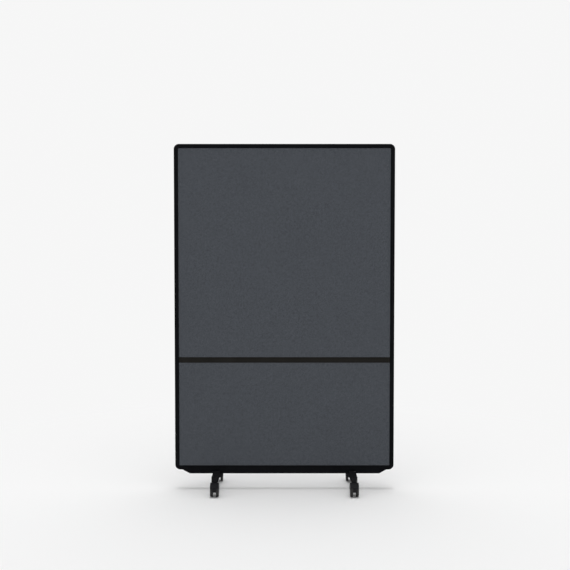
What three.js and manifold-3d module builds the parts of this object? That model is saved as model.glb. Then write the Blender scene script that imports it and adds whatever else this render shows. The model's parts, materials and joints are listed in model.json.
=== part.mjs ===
// Rolling partition: a framed, fabric-faced screen on two cross feet with twin-wheel casters.
// Millimetres, +Z up. The origin is on the floor under the middle of the screen, front towards -Y.

import * as THREE from 'three';
import { mergeVertices } from 'three/addons/utils/BufferGeometryUtils.js';
import Module from 'manifold-3d';

const wasm = await Module();
wasm.setup();

// ---------------------------------------------------------------- driving dimensions

// Frame of extruded profile
const frameWidth = 1200;
const frameHeight = 1780;
const faceWidth = 23;
const outerWall = 2;
const webWall = 2;
const chamberSideWall = 2;
const grooveWall = 2.4;
const grooveDepth = 12;
const frameEdgeRadius = 3;
const grooveLipRadius = 0.8;

// Corner pieces
const cornerInnerRadius = 5;
const cornerStraight = 2;
const cornerSpigotLength = 45;
const spigotSlotWidth = 7;
const spigotSlotLength = 32;
const spigotTipChamfer = 1.5;

// Infill: two boards, each a core between two fabric-covered facings
const facingThickness = 4;
const facingEdge = 1;
const facingCornerRadius = 5;
const coreThickness = 26;

// Middle rail and its end joints
const midRailCentre = 715;
const midRailHeight = 30;
const midRailWeb = 9;
const midRailWall = 1.5;
const midRailCrown = 0.8;
const midRailLipRadius = 1;
const midCollarLength = 8;
const midSpigotLength = 40;

// Base beam under the frame, and its sloping ends
const beamInset = 80.5;
const beamWall = 2.4;
const beamWeb = 6.7;
const beamWebWall = 1.8;
const beamWebRib = 2;
const beamLipHeight = 9.8;
const beamSkirtHeight = 13.5;
const beamCrown = 0.7;
const beamLipRadius = 1;
const beamEndSlope = 28.9;
const beamEndTongue = 24;
const beamEndTip = 1.2;

// Cross feet, set in from the sides of the frame
const footInset = 227;
const footWidth = 35;
const footHeight = 24;
const footTipReach = 23;
const footEdgeRadius = 3;
const footBelly = 8;
const footBellyRun = 40;
const footLevelEnd = 32;
const footWall = 3.5;
const footRib = 3;
const footCentreHalf = 30;
const footStemBoss = 15;
const footStemCover = 4.5;

// Bolts up through foot, beam and bottom rail into a tapped plate
const boltDiameter = 6;
const boltHeadDiameter = 12;
const boltHeadHeight = 4;
const boltSocketWidth = 4;
const boltSocketDepth = 2.4;
const boltGrip = 18;
const boltSpacing = 20;
const boltCounterbore = 14;
const nutPlateLength = 44;

// Casters: wheels and tyres
const axleSpacing = 300;
const casterWidth = 45;
const wheelDiameter = 70;
const wheelWidth = 13;
const wheelRimThickness = 3;
const wheelWebThickness = 2.6;
const wheelHubDiameter = 17;
const wheelCapThickness = 2.7;
const wheelCrown = 1.6;
const wheelDishRadius = 10;
const wheelDishDepth = 0.8;
const tyreThickness = 4;
const tyreShoulder = 2;
const axleDiameter = 6;

// Casters: hooded swivel body
const casterTrail = 18;
const hoodGap = 1.4;
const hoodWall = 3;
const hoodEdgeRadius = 2.5;
const hoodStartAngle = -8;
const hoodEndAngle = 150;
const bodyDrop = 9;
const bodyHeelReach = 12;
const bodyToeReach = 22;
const bodyPocketWidth = 11;
const bodyPocketLength = 14;
const bodyPocketHeight = 30;
const axleBossRadius = 7.5;
const stemHousingDiameter = 17;

// Casters: swivel stem
const swivelGap = 4.3;
const stemJournalDiameter = 8;
const stemJournalLength = 34;
const stemCollarDiameter = 16;
const stemDiameter = 10.4;
const stemRingDiameter = 11.4;
const stemRingHeight = 3;

// Clearances
const seatGap = 0.3;
const slideGap = 0.3;
const wheelSideGap = 0.75;
const runningGap = 0.3;
const pressGap = 0.2;
const boltHoleGap = 0.4;
const notchGap = 0.4;
const endPlay = 0.5;

// Facets round a full turn, and how far a cutter runs past what it cuts
const wheelFacets = 22;
const hoodFacets = 32;
const pinFacets = 10;
const cornerFacets = 24;
const cutMargin = 5;

// ---------------------------------------------------------------- derived levels and places

const wheelRadius = wheelDiameter / 2;
const hoodInnerRadius = wheelRadius + hoodGap;
const hoodOuterRadius = hoodInnerRadius + hoodWall;
const hoodTop = wheelRadius + hoodOuterRadius;
const footBottom = hoodTop + swivelGap;
const footTop = footBottom + footHeight;
const beamWebBottom = footTop + seatGap;
const beamWebTop = beamWebBottom + beamWeb;
const beamLipTop = beamWebTop + beamLipHeight;
const beamBottom = beamWebBottom - beamSkirtHeight;
const frameBottom = beamWebTop + seatGap;
const frameTop = frameBottom + frameHeight;

const infillThickness = coreThickness + 2 * facingThickness + 2 * seatGap;
const grooveHalf = infillThickness / 2 + slideGap;
const halfWidth = frameWidth / 2;
const halfDepth = grooveHalf + grooveWall;
const frameDepth = 2 * halfDepth;
const grooveFloor = faceWidth - grooveDepth;
const chamberTop = grooveFloor - webWall;
const chamberHalfDepth = halfDepth - chamberSideWall;
const cornerRadius = faceWidth + cornerInnerRadius;
const cornerLeg = cornerRadius + cornerStraight;

const midChamberHalfHeight = midRailWeb / 2 - midRailWall;
const midChamberHalfDepth = grooveHalf - midRailWall;
const midCollarStart = halfWidth - faceWidth;
const midRailEnd = midCollarStart - midCollarLength;

const beamChannelHalf = halfDepth + slideGap;
const beamHalfDepth = beamChannelHalf + beamWall;
const beamLength = frameWidth - 2 * beamInset;

const footX = halfWidth - footInset;
const axleY = axleSpacing / 2;
const stemY = axleY - casterTrail;
const footHalfLength = stemY + footTipReach;
const footBellyHalf = stemY - footLevelEnd - footBellyRun;
const stemLength = footHeight - footStemCover - endPlay;
const boltSeat = footTop - boltGrip;
const nutPlateBottom = frameBottom + outerWall + seatGap;
const nutPlateTop = frameBottom + chamberTop - seatGap;
const boltHoleDiameter = boltDiameter + 2 * boltHoleGap;

const wheelOuterFace = casterWidth / 2;
const wheelInnerFace = wheelOuterFace - wheelWidth;
const wheelBoreEnd = wheelOuterFace - wheelDishDepth - wheelCapThickness;
const bodyHalfWidth = wheelInnerFace - wheelSideGap;
const tyreBore = wheelRadius - tyreThickness;
const rimRadius = tyreBore - seatGap;

// ---------------------------------------------------------------- materials

function finish(name, color, roughness, metalness) {
  return new THREE.MeshStandardMaterial({ name, color, roughness, metalness });
}

const blackCoat = finish('black_coat', 0x191a1c, 0.5, 0.2);
const blackMoulding = finish('black_moulding', 0x232325, 0.55, 0);
const greyFabric = finish('grey_fabric', 0x464a4e, 0.95, 0);
const coreBoard = finish('core_board', 0xb79d74, 0.9, 0);
const wheelNylon = finish('wheel_nylon', 0x1f2022, 0.45, 0);
const treadRubber = finish('tread_rubber', 0x2b2b2d, 0.8, 0);
const zincSteel = finish('zinc_steel', 0xa9adb0, 0.35, 1);

// ---------------------------------------------------------------- solids: joining and cutting

// A closed geometry as a solid that can be joined and cut.
function solidFrom(geometry) {
  const bare = geometry.clone();
  bare.deleteAttribute('normal');
  bare.deleteAttribute('uv');
  const merged = mergeVertices(bare, 1e-4);
  const corners = merged.index.array;
  const kept = [];
  for (let i = 0; i < corners.length; i += 3) {
    const [a, b, c] = [corners[i], corners[i + 1], corners[i + 2]];
    if (a !== b && b !== c && c !== a) kept.push(a, b, c);
  }
  return new wasm.Manifold(new wasm.Mesh({
    numProp: 3,
    vertProperties: new Float32Array(merged.attributes.position.array),
    triVerts: new Uint32Array(kept),
  }));
}

function geometryFrom(solid) {
  const mesh = solid.getMesh();
  const geometry = new THREE.BufferGeometry();
  geometry.setAttribute('position', new THREE.BufferAttribute(new Float32Array(mesh.vertProperties), 3));
  geometry.setIndex(new THREE.BufferAttribute(new Uint32Array(mesh.triVerts), 1));
  geometry.computeVertexNormals();
  return geometry;
}

// ---------------------------------------------------------------- basic forms

const quarterTurn = Math.PI / 2;

function block([x0, x1], [y0, y1], [z0, z1]) {
  const box = new THREE.BoxGeometry(x1 - x0, y1 - y0, z1 - z0);
  return solidFrom(box.translate((x0 + x1) / 2, (y0 + y1) / 2, (z0 + z1) / 2));
}

function pinAlongZ([x, y], [z0, z1], diameter) {
  const pin = new THREE.CylinderGeometry(diameter / 2, diameter / 2, z1 - z0, pinFacets);
  return solidFrom(pin.rotateX(quarterTurn).translate(x, y, (z0 + z1) / 2));
}

function pinAlongX([y, z], length, diameter) {
  const pin = new THREE.CylinderGeometry(diameter / 2, diameter / 2, length, pinFacets);
  return solidFrom(pin.rotateZ(-quarterTurn).translate(0, y, z));
}

function extruded(outline, depth, curveSegments = 8) {
  return new THREE.ExtrudeGeometry(outline, { depth, bevelEnabled: false, curveSegments });
}

// An outline drawn in (Z, Y) becomes a bar along X, centred on x = 0.
function barAlongX(outline, length) {
  return extruded(outline, length).rotateY(-quarterTurn).translate(length / 2, 0, 0);
}

// An outline drawn in (Y, Z) becomes a plate square to X, centred on x = 0.
function plateAcrossX(outline, thickness) {
  return extruded(outline, thickness).rotateZ(quarterTurn).rotateY(quarterTurn)
    .translate(-thickness / 2, 0, 0);
}

// A profile of [radius, place along the axis] points, turned about Z or about X.
function revolvedAboutZ(profile, facets) {
  const points = profile.map(([radius, along]) => new THREE.Vector2(radius, along));
  return new THREE.LatheGeometry(points, facets).rotateX(quarterTurn);
}

function revolvedAboutX(profile, facets) {
  const points = profile.map(([radius, along]) => new THREE.Vector2(radius, along));
  return new THREE.LatheGeometry(points, facets).rotateZ(-quarterTurn);
}

// Points of an arc about (a, b), both ends included.
function arcPoints([a, b], radius, fromDegrees, toDegrees, steps) {
  const points = [];
  for (let i = 0; i <= steps; i += 1) {
    const angle = THREE.MathUtils.degToRad(fromDegrees + ((toDegrees - fromDegrees) * i) / steps);
    points.push([a + radius * Math.cos(angle), b + radius * Math.sin(angle)]);
  }
  return points;
}

function shapeFrom(points) {
  return new THREE.Shape(points.map(([a, b]) => new THREE.Vector2(a, b)));
}

function rectangle([a0, a1], [b0, b1]) {
  return new THREE.Path([[a0, b0], [a0, b1], [a1, b1], [a1, b0]].map(([a, b]) => new THREE.Vector2(a, b)));
}

function mirrored(points) {
  return points.map(([a, b]) => [a, -b]).reverse();
}

// ---------------------------------------------------------------- assembly

const partition = new THREE.Group();

function add(parent, name, geometry, material, place = [0, 0, 0], turn = [0, 0, 0]) {
  const mesh = new THREE.Mesh(geometry, material);
  mesh.name = name;
  mesh.position.set(...place);
  mesh.rotation.set(...turn);
  parent.add(mesh);
}

// ---------------------------------------------------------------- frame

// The +Y half of the frame section's skin, from the inner edge round to the outer face.
// The first coordinate runs from the outer face (0) to the inner edge (faceWidth).
function frameSkin() {
  const lip = grooveLipRadius;
  const edge = frameEdgeRadius;
  return [
    ...arcPoints([faceWidth - lip, halfDepth - lip], lip, 0, 90, 2),
    ...arcPoints([edge, halfDepth - edge], edge, 90, 180, 3),
  ];
}

// Extruded profile: an outer chamber for the spigots and an inner groove for the boards.
function frameSection() {
  const skin = frameSkin();
  const outline = shapeFrom([
    [faceWidth, grooveHalf], ...skin, ...mirrored(skin),
    [faceWidth, -grooveHalf], [grooveFloor, -grooveHalf], [grooveFloor, grooveHalf],
  ]);
  outline.holes.push(rectangle([outerWall, chamberTop], [-chamberHalfDepth, chamberHalfDepth]));
  return outline;
}

// A moulded spigot that fills the chamber, slotted so that it can be pressed in.
function spigotSolid(root, tip) {
  const thickness = [outerWall + slideGap, chamberTop - slideGap];
  const half = chamberHalfDepth - slideGap;
  const chamfer = spigotTipChamfer;
  const outline = shapeFrom([
    [-half, root], [half, root], [half, tip - chamfer], [half - chamfer, tip],
    [-half + chamfer, tip], [-half, tip - chamfer],
  ]);
  const depth = thickness[1] - thickness[0];
  const tongue = plateAcrossX(outline, depth).translate((thickness[0] + thickness[1]) / 2, 0, 0);
  const slot = block(
    [0, faceWidth], [-spigotSlotWidth / 2, spigotSlotWidth / 2], [tip - spigotSlotLength, tip + cutMargin]);
  return solidFrom(tongue).subtract(slot);
}

// Corner piece in its own frame: outer corner at the origin, legs along +X and +Z.
function cornerPiece() {
  const skin = frameSkin();
  const ringSkin = skin.map(([across, depth]) => [cornerRadius - across, depth]);
  const loop = [...ringSkin, ...mirrored(ringSkin)].reverse();
  loop.push(loop[0]);
  const ring = new THREE.LatheGeometry(loop.map(([r, y]) => new THREE.Vector2(r, y)), cornerFacets);
  const quadrant = [-cutMargin, cornerRadius];
  const bend = solidFrom(ring.translate(cornerRadius, 0, cornerRadius))
    .intersect(block(quadrant, [-frameDepth, frameDepth], quadrant));

  const leg = extruded(shapeFrom([...skin, ...mirrored(skin)]), cornerLeg - cornerRadius);
  const upright = solidFrom(leg.clone().translate(0, 0, cornerRadius));
  const level = solidFrom(leg.clone().rotateY(-quarterTurn).translate(cornerLeg, 0, 0));

  const spigot = spigotSolid(cornerRadius - outerWall, cornerLeg + cornerSpigotLength);
  const levelSpigot = solidFrom(
    geometryFrom(spigot).rotateY(quarterTurn).translate(0, 0, outerWall + chamberTop));
  const boardRoom = [grooveFloor, cornerLeg + cutMargin];
  return bend.add(upright).add(level)
    .subtract(block(boardRoom, [-grooveHalf, grooveHalf], boardRoom))
    .add(spigot).add(levelSpigot);
}

function addFrame() {
  const stileLength = frameHeight - 2 * (cornerLeg + seatGap);
  const railLength = frameWidth - 2 * (cornerLeg + seatGap);
  const stile = extruded(frameSection(), stileLength);
  const stileFoot = frameBottom + cornerLeg + seatGap;
  add(partition, 'stile_left', stile, blackCoat, [-halfWidth, 0, stileFoot]);
  add(partition, 'stile_right', stile, blackCoat, [halfWidth, 0, stileFoot], [0, 0, Math.PI]);

  const rail = barAlongX(frameSection(), railLength);
  add(partition, 'rail_top', rail, blackCoat, [0, 0, frameTop], [Math.PI, 0, 0]);
  let bottomRail = solidFrom(rail.clone().translate(0, 0, frameBottom));
  for (const [x, y] of boltPlaces()) {
    bottomRail = bottomRail.subtract(
      pinAlongZ([x, y], [frameBottom - cutMargin, nutPlateBottom], boltHoleDiameter));
  }
  add(partition, 'rail_bottom', geometryFrom(bottomRail), blackCoat);

  const corner = geometryFrom(cornerPiece());
  add(partition, 'corner_bottom_left', corner, blackMoulding, [-halfWidth, 0, frameBottom]);
  add(partition, 'corner_top_left', corner, blackMoulding, [-halfWidth, 0, frameTop], [0, quarterTurn, 0]);
  add(partition, 'corner_top_right', corner, blackMoulding, [halfWidth, 0, frameTop], [0, Math.PI, 0]);
  add(partition, 'corner_bottom_right', corner, blackMoulding,
    [halfWidth, 0, frameBottom], [0, -quarterTurn, 0]);
}

// ---------------------------------------------------------------- middle rail

// H section in (Z, Y) with crowned outer faces; the web is hollow in the rail and solid in the joints.
function midRailSection(hollow) {
  const half = midRailHeight / 2;
  const lip = midRailLipRadius;
  const edge = halfDepth - midRailCrown;
  const face = [];
  for (const t of [-1, -0.5, 0, 0.5, 1]) {
    face.push([-t * (half - lip), edge + midRailCrown * (1 - t * t)]);
  }
  const skin = [
    ...arcPoints([half - lip, edge - lip], lip, 0, 60, 2),
    ...face,
    ...arcPoints([lip - half, edge - lip], lip, 120, 180, 2),
  ];
  const outline = shapeFrom([
    [half, grooveHalf], ...skin, [-half, grooveHalf],
    [-midRailWeb / 2, grooveHalf], [-midRailWeb / 2, -grooveHalf],
    [-half, -grooveHalf], ...mirrored(skin), [half, -grooveHalf],
    [midRailWeb / 2, -grooveHalf], [midRailWeb / 2, grooveHalf],
  ]);
  if (hollow) {
    outline.holes.push(rectangle(
      [-midChamberHalfHeight, midChamberHalfHeight], [-midChamberHalfDepth, midChamberHalfDepth]));
  }
  return outline;
}

// End joint on the +X side: a tenon in the stile's groove, a collar, and a spigot in the rail's web.
function midJoint() {
  const collarFrom = midRailEnd + seatGap;
  const collarTo = midCollarStart - seatGap;
  const collar = barAlongX(midRailSection(false), collarTo - collarFrom)
    .translate((collarFrom + collarTo) / 2, 0, 0);
  const tenonHalf = midRailWeb / 2 - slideGap;
  const tenonDepth = grooveHalf - slideGap;
  const tenon = block(
    [collarFrom + cutMargin / 2, halfWidth - grooveFloor - slideGap],
    [-tenonDepth, tenonDepth], [-tenonHalf, tenonHalf]);
  const spigotHalf = midChamberHalfHeight - slideGap;
  const spigotDepth = midChamberHalfDepth - slideGap;
  const spigot = block(
    [midRailEnd - midSpigotLength, collarTo - cutMargin / 2],
    [-spigotDepth, spigotDepth], [-spigotHalf, spigotHalf]);
  return geometryFrom(solidFrom(collar).add(tenon).add(spigot));
}

function addMidRail() {
  const rail = barAlongX(midRailSection(true), 2 * midRailEnd);
  add(partition, 'mid_rail', rail, blackMoulding, [0, 0, midRailCentre]);
  const joint = midJoint();
  add(partition, 'mid_joint_right', joint, blackMoulding, [0, 0, midRailCentre]);
  add(partition, 'mid_joint_left', joint, blackMoulding, [0, 0, midRailCentre], [0, 0, Math.PI]);
}

// ---------------------------------------------------------------- boards

function boardOutline(width, height, radius) {
  const [w, h] = [width / 2 - radius, height / 2 - radius];
  return shapeFrom([
    ...arcPoints([w, h], radius, 0, 90, 3), ...arcPoints([-w, h], radius, 90, 180, 3),
    ...arcPoints([-w, -h], radius, 180, 270, 3), ...arcPoints([w, -h], radius, 270, 360, 3),
  ]);
}

// A facing with eased edges, lying across Y and centred on the origin.
function facingPlate(width, height) {
  const plate = new THREE.ExtrudeGeometry(boardOutline(width, height, facingCornerRadius), {
    depth: facingThickness - 2 * facingEdge,
    bevelThickness: facingEdge,
    bevelSize: facingEdge,
    bevelOffset: -facingEdge,
    bevelSegments: 1,
  });
  return plate.translate(0, 0, facingEdge - facingThickness / 2).rotateX(quarterTurn);
}

function addBoard(name, bottom, top) {
  const width = 2 * (halfWidth - grooveFloor - slideGap);
  const height = top - bottom;
  const centre = (top + bottom) / 2;
  const core = new THREE.BoxGeometry(width, coreThickness, height);
  add(partition, `core_${name}`, core, coreBoard, [0, 0, centre]);
  const facing = facingPlate(width, height);
  const facingY = (infillThickness - facingThickness) / 2;
  add(partition, `facing_${name}_front`, facing, greyFabric, [0, -facingY, centre]);
  add(partition, `facing_${name}_rear`, facing, greyFabric, [0, facingY, centre]);
}

function addBoards() {
  const railHalf = midRailWeb / 2 + slideGap;
  addBoard('upper', midRailCentre + railHalf, frameTop - grooveFloor - slideGap);
  addBoard('lower', frameBottom + grooveFloor + slideGap, midRailCentre - railHalf);
}

// ---------------------------------------------------------------- base beam

// The +Y half of the beam's skin in (Z, Y), from the lip at the top down to the skirt's edge.
function beamSkin() {
  const lip = beamLipRadius;
  const edge = beamHalfDepth - beamCrown;
  const middle = (beamLipTop + beamBottom) / 2;
  const half = (beamLipTop - beamBottom) / 2 - lip;
  const face = [];
  for (const t of [-1, -0.5, 0, 0.5, 1]) {
    face.push([middle - t * half, edge + beamCrown * (1 - t * t)]);
  }
  return [
    ...arcPoints([middle + half, edge - lip], lip, 0, 60, 2),
    ...face,
    ...arcPoints([middle - half, edge - lip], lip, 120, 180, 2),
  ];
}

// H section: lips up each side of the bottom rail, skirts down each side of the feet, cells in the web.
function beamSection() {
  const skin = beamSkin();
  const inner = beamChannelHalf;
  const outline = shapeFrom([
    [beamLipTop, inner], ...skin, [beamBottom, inner],
    [beamWebBottom, inner], [beamWebBottom, -inner],
    [beamBottom, -inner], ...mirrored(skin), [beamLipTop, -inner],
    [beamWebTop, -inner], [beamWebTop, inner],
  ]);
  const cells = 3;
  const cellWidth = (2 * inner - (cells + 1) * beamWebRib) / cells;
  for (let i = 0; i < cells; i += 1) {
    const from = -inner + beamWebRib + i * (cellWidth + beamWebRib);
    outline.holes.push(rectangle(
      [beamWebBottom + beamWebWall, beamWebTop - beamWebWall], [from, from + cellWidth]));
  }
  return outline;
}

function boltPlaces() {
  const places = [];
  for (const x of [-footX, footX]) {
    for (const y of [-boltSpacing / 2, boltSpacing / 2]) places.push([x, y]);
  }
  return places;
}

function beamBar() {
  let bar = solidFrom(barAlongX(beamSection(), beamLength));
  const notchHalf = footWidth / 2 + notchGap;
  for (const x of [-footX, footX]) {
    bar = bar.subtract(block(
      [x - notchHalf, x + notchHalf], [-frameDepth, frameDepth], [beamBottom - cutMargin, beamWebBottom]));
  }
  for (const [x, y] of boltPlaces()) {
    bar = bar.subtract(pinAlongZ(
      [x, y], [beamWebBottom - cutMargin, beamWebTop + cutMargin], boltHoleDiameter));
  }
  return geometryFrom(bar);
}

// Moulded end on the +X side: it carries on the beam's faces and runs out under the frame in a slope.
function beamEnd() {
  const start = beamLength / 2 + pressGap;
  const slope = Math.tan(THREE.MathUtils.degToRad(beamEndSlope));
  const end = start + (beamLipTop - beamBottom - beamEndTip) / slope;
  const skin = beamSkin();
  const bar = solidFrom(barAlongX(shapeFrom([...skin, ...mirrored(skin)]), end - start)
    .translate((start + end) / 2, 0, 0));
  const overrun = end + cutMargin;
  const underside = shapeFrom([
    [start, beamBottom], [start, beamBottom - cutMargin], [overrun, beamBottom - cutMargin],
    [overrun, beamBottom + (overrun - start) * slope],
  ]);
  const wedge = extruded(underside, 2 * frameDepth).rotateX(quarterTurn).translate(0, frameDepth, 0);
  const channel = block(
    [start - cutMargin, overrun], [-beamChannelHalf, beamChannelHalf], [beamWebTop, beamLipTop + cutMargin]);
  const tongueHalf = beamChannelHalf - slideGap;
  const tongue = block(
    [start - beamEndTongue, start + cutMargin], [-tongueHalf, tongueHalf],
    [beamBottom + beamWall, beamWebBottom - slideGap]);
  return geometryFrom(bar.add(tongue).subtract(solidFrom(wedge)).subtract(channel));
}

function addBeam() {
  add(partition, 'base_beam', beamBar(), blackCoat);
  const end = beamEnd();
  add(partition, 'beam_end_right', end, blackMoulding);
  add(partition, 'beam_end_left', end, blackMoulding, [0, 0, 0], [0, 0, Math.PI]);
}

// ---------------------------------------------------------------- cross feet

// Plan with round tips, the upper edge rounded over.
function footBlank() {
  const tip = footWidth / 2 - footEdgeRadius;
  const straight = footHalfLength - footWidth / 2;
  const plan = shapeFrom([
    ...arcPoints([0, straight], tip, 0, 180, 10), ...arcPoints([0, -straight], tip, 180, 360, 10),
  ]);
  const low = footBottom - footBelly - footEdgeRadius - cutMargin;
  return new THREE.ExtrudeGeometry(plan, {
    depth: footTop - low - 2 * footEdgeRadius,
    bevelThickness: footEdgeRadius,
    bevelSize: footEdgeRadius,
    bevelSegments: 3,
  }).translate(0, 0, low + footEdgeRadius);
}

// Side outline in (Y, Z): level under the casters' stems, deeper in the middle, where it bends most.
function footSide() {
  const reach = footHalfLength + cutMargin;
  const steps = 6;
  const rise = [];
  for (let i = 0; i <= steps; i += 1) {
    const drop = footBelly * (1 + Math.cos((Math.PI * i) / steps)) / 2;
    rise.push([footBellyHalf + (footBellyRun * i) / steps, footBottom - drop]);
  }
  const fall = rise.map(([y, z]) => [-y, z]).reverse();
  return shapeFrom([
    [-reach, footBottom], ...fall, ...rise, [reach, footBottom],
    [reach, footTop + cutMargin], [-reach, footTop + cutMargin],
  ]);
}

function footBar() {
  let bar = solidFrom(footBlank()).intersect(solidFrom(plateAcrossX(footSide(), 2 * footWidth)));
  const below = footBottom - footBelly - cutMargin;
  const pocketHalf = footWidth / 2 - footWall;
  const pocketEnd = stemY - footStemBoss;
  const ribY = (footCentreHalf + pocketEnd) / 2;
  const pockets = [[footCentreHalf, ribY - footRib / 2], [ribY + footRib / 2, pocketEnd]];
  for (const side of [-1, 1]) {
    for (const [from, to] of pockets) {
      const range = [side * from, side * to].sort((a, b) => a - b);
      bar = bar.subtract(block([-pocketHalf, pocketHalf], range, [below, footTop - footWall]));
    }
    bar = bar.subtract(pinAlongZ([0, side * stemY],
      [below, footBottom + stemLength + endPlay], stemRingDiameter + 2 * seatGap));
    const boltY = side * boltSpacing / 2;
    bar = bar.subtract(pinAlongZ([0, boltY], [below, boltSeat], boltCounterbore));
    bar = bar.subtract(pinAlongZ([0, boltY], [below, footTop + cutMargin], boltHoleDiameter));
  }
  return geometryFrom(bar);
}

// Button-head bolt, head down, with its seat at z = 0.
function footBolt() {
  const shank = boltDiameter / 2;
  const head = boltHeadDiameter / 2;
  const tip = nutPlateTop - boltSeat - pressGap;
  const chamfer = boltDiameter / 8;
  const profile = [
    [0, -boltHeadHeight], [head * 0.6, -boltHeadHeight], [head, -boltHeadHeight / 2], [head, -pressGap],
    [shank, -pressGap], [shank, tip - chamfer], [shank - chamfer, tip], [0, tip],
  ];
  const socket = new THREE.CylinderGeometry(
    boltSocketWidth / Math.sqrt(3), boltSocketWidth / Math.sqrt(3), boltSocketDepth + cutMargin, 6);
  socket.rotateX(quarterTurn).translate(0, 0, boltSocketDepth / 2 - cutMargin / 2 - boltHeadHeight);
  return geometryFrom(solidFrom(revolvedAboutZ(profile, pinFacets)).subtract(solidFrom(socket)));
}

function nutPlate() {
  const half = chamberHalfDepth - slideGap;
  let plate = block(
    [-nutPlateLength / 2, nutPlateLength / 2], [-half, half], [nutPlateBottom, nutPlateTop]);
  for (const y of [-boltSpacing / 2, boltSpacing / 2]) {
    plate = plate.subtract(pinAlongZ([0, y], [nutPlateBottom - cutMargin, nutPlateTop + cutMargin],
      boltDiameter + 2 * pressGap));
  }
  return geometryFrom(plate);
}

function addFeet() {
  const bar = footBar();
  const bolt = footBolt();
  const plate = nutPlate();
  for (const [side, x] of [['left', -footX], ['right', footX]]) {
    add(partition, `foot_${side}`, bar, blackCoat, [x, 0, 0]);
    add(partition, `nut_plate_${side}`, plate, zincSteel, [x, 0, 0]);
    for (const [end, y] of [['front', -boltSpacing / 2], ['rear', boltSpacing / 2]]) {
      add(partition, `foot_bolt_${side}_${end}`, bolt, zincSteel, [x, y, boltSeat]);
    }
  }
}

// ---------------------------------------------------------------- casters
// Each is drawn with its axle along X over the origin and its stem on the +Y side.

// Hooded body: a hood over both wheels, a core between them, and a housing for the stem.
function casterBody() {
  const edge = Math.min(hoodEdgeRadius, hoodWall);
  const half = casterWidth / 2;
  const crown = hoodOuterRadius - edge;
  const ringProfile = [
    [hoodInnerRadius, -half], ...arcPoints([crown, edge - half], edge, -90, 0, 2),
    ...arcPoints([crown, half - edge], edge, 0, 90, 2), [hoodInnerRadius, half], [hoodInnerRadius, -half],
  ];
  const far = 2 * hoodOuterRadius;
  const sector = shapeFrom([[0, 0], ...arcPoints([0, 0], far, hoodStartAngle, hoodEndAngle, 6)]);
  const hood = solidFrom(revolvedAboutX(ringProfile, hoodFacets))
    .intersect(solidFrom(plateAcrossX(sector, 2 * casterWidth)));

  const skirtRadius = hoodOuterRadius - hoodWall / 2;
  const start = THREE.MathUtils.degToRad(hoodStartAngle);
  const end = THREE.MathUtils.degToRad(hoodEndAngle);
  const side = new THREE.Shape();
  side.absarc(0, 0, skirtRadius, start, end, false);
  side.quadraticCurveTo(-skirtRadius, -bodyDrop, -bodyHeelReach, -bodyDrop);
  side.lineTo(bodyToeReach, -bodyDrop);
  side.quadraticCurveTo(
    skirtRadius, -bodyDrop, skirtRadius * Math.cos(start), skirtRadius * Math.sin(start));
  const core = solidFrom(plateAcrossX(side, 2 * bodyHalfWidth));

  const housing = pinAlongZ([0, casterTrail], [0, hoodOuterRadius], stemHousingDiameter);
  const pocketTo = -axleBossRadius;
  const pocket = block(
    [-bodyPocketWidth / 2, bodyPocketWidth / 2], [pocketTo - bodyPocketLength, pocketTo],
    [-bodyDrop - cutMargin, bodyPocketHeight - bodyDrop]);
  const journal = pinAlongZ([0, casterTrail],
    [hoodOuterRadius - stemJournalLength - endPlay, hoodOuterRadius + cutMargin],
    stemJournalDiameter + 2 * runningGap);
  const axleHole = pinAlongX([0, 0], casterWidth, axleDiameter + 2 * pressGap);
  return geometryFrom(hood.add(core).add(housing).subtract(pocket).subtract(journal).subtract(axleHole));
}

// Swivel stem: a journal in the body, a collar under the foot, and a ringed shank in the foot's boss.
function casterStem() {
  const journal = stemJournalDiameter / 2;
  const shank = stemDiameter / 2;
  const ring = stemRingDiameter / 2;
  const chamfer = stemJournalDiameter / 10;
  const bottom = hoodTop - stemJournalLength;
  const collarBottom = hoodTop + seatGap;
  const collarTop = footBottom - seatGap;
  const ringBottom = footBottom + (stemLength - stemRingHeight) / 2;
  const ringTop = ringBottom + stemRingHeight;
  const tip = footBottom + stemLength;
  return revolvedAboutZ([
    [0, bottom], [journal - chamfer, bottom], [journal, bottom + chamfer], [journal, collarBottom],
    [stemCollarDiameter / 2, collarBottom], [stemCollarDiameter / 2, collarTop], [shank, collarTop],
    [shank, ringBottom], [ring, ringBottom + chamfer], [ring, ringTop - chamfer], [shank, ringTop],
    [shank, tip - 2 * chamfer], [shank - 2 * chamfer, tip], [0, tip],
  ], pinFacets);
}

function casterAxle() {
  const radius = axleDiameter / 2;
  const half = wheelBoreEnd - endPlay;
  const chamfer = axleDiameter / 12;
  return revolvedAboutX([
    [0, -half], [radius - chamfer, -half], [radius, chamfer - half],
    [radius, half - chamfer], [radius - chamfer, half], [0, half],
  ], pinFacets);
}

// Wheel on the +X side: a blind hub on the axle, a web, a rim, and a crowned and dished outer face.
function casterWheel() {
  const bore = axleDiameter / 2 + runningGap;
  const hub = wheelHubDiameter / 2;
  const rimInner = rimRadius - wheelRimThickness;
  const rimFace = wheelInnerFace + seatGap;
  const shoulder = wheelOuterFace - wheelCrown;
  const web = shoulder - wheelWebThickness;
  return revolvedAboutX([
    [0, wheelBoreEnd], [bore, wheelBoreEnd], [bore, wheelInnerFace], [hub, wheelInnerFace], [hub, web],
    [rimInner, web], [rimInner, rimFace], [rimRadius, rimFace], [rimRadius, shoulder],
    [wheelDishRadius, wheelOuterFace],
    [wheelDishRadius - wheelDishDepth, wheelOuterFace - wheelDishDepth],
    [0, wheelOuterFace - wheelDishDepth],
  ], wheelFacets);
}

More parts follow.
